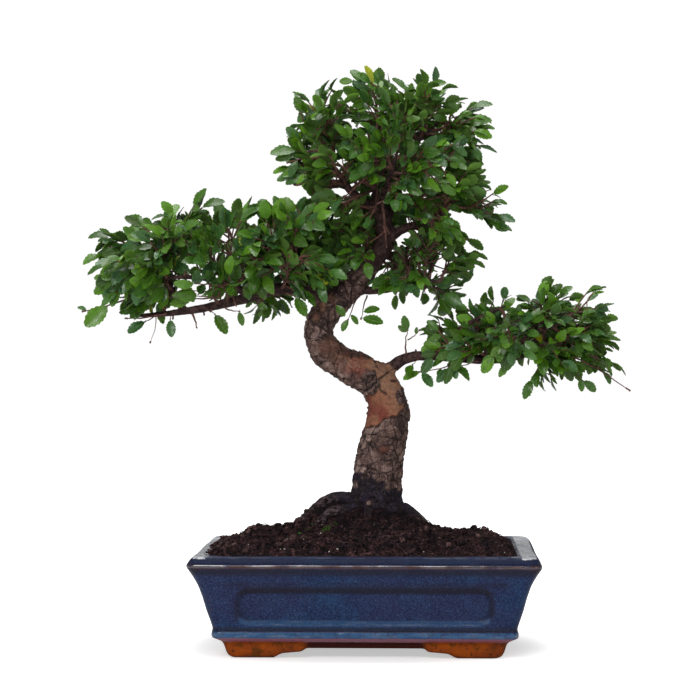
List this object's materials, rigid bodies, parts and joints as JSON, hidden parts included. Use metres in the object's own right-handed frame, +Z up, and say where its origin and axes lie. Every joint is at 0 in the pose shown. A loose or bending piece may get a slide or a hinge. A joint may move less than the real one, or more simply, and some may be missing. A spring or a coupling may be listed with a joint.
{
  "type": "chinese elm bonsai",
  "caption": "Potted bonsai tree with an S-shaped trunk, pads of small toothed leaves and a glazed footed tray of soil",
  "frame": {"origin": "on the surface that the pot stands on, under the middle of the whole plant's spread", "axes": "+Z up, +X to the viewer's right across the pot's long side, so that the longest branch points to -X"},
  "size_m": [0.412, 0.2, 0.4388],
  "materials": {
    "glaze": "gloss",
    "screen": "matte",
    "soil": "matte",
    "bark": "matte",
    "leaf": "satin"
  },
  "bodies": {
    "root": {"drain_screen_left": "screen", "drain_screen_right": "screen", "pot": "glaze", "soil": "soil", "spray_crown_1": "leaf", "spray_crown_10": "leaf", "spray_crown_11": "leaf", "spray_crown_12": "leaf", "spray_crown_13": "leaf", "spray_crown_14": "leaf", "spray_crown_15": "leaf", "spray_crown_16": "leaf", "spray_crown_17": "leaf", "spray_crown_18": "leaf", "spray_crown_19": "leaf", "spray_crown_2": "leaf", "spray_crown_20": "leaf", "spray_crown_3": "leaf", "spray_crown_4": "leaf", "spray_crown_5": "leaf", "spray_crown_6": "leaf", "spray_crown_7": "leaf", "spray_crown_8": "leaf", "spray_crown_9": "leaf", "spray_left_1": "leaf", "spray_left_10": "leaf", "spray_left_11": "leaf", "spray_left_12": "leaf", "spray_left_13": "leaf", "spray_left_14": "leaf", "spray_left_15": "leaf", "spray_left_2": "leaf", "spray_left_3": "leaf", "spray_left_4": "leaf", "spray_left_5": "leaf", "spray_left_6": "leaf", "spray_left_7": "leaf", "spray_left_8": "leaf", "spray_right_1": "leaf", "spray_right_2": "leaf", "spray_right_3": "leaf", "spray_right_4": "leaf", "spray_right_6": "leaf", "spray_right_8": "leaf", "spray_right_9": "leaf", "spray_shoulder_2": "leaf", "spray_shoulder_3": "leaf", "spray_shoulder_4": "leaf", "spray_shoulder_5": "leaf", "spray_under_1": "leaf", "spray_under_3": "leaf", "spray_under_4": "leaf", "spray_under_5": "leaf", "spray_under_6": "leaf", "trunk": "bark"}
  },
  "joints": []
}
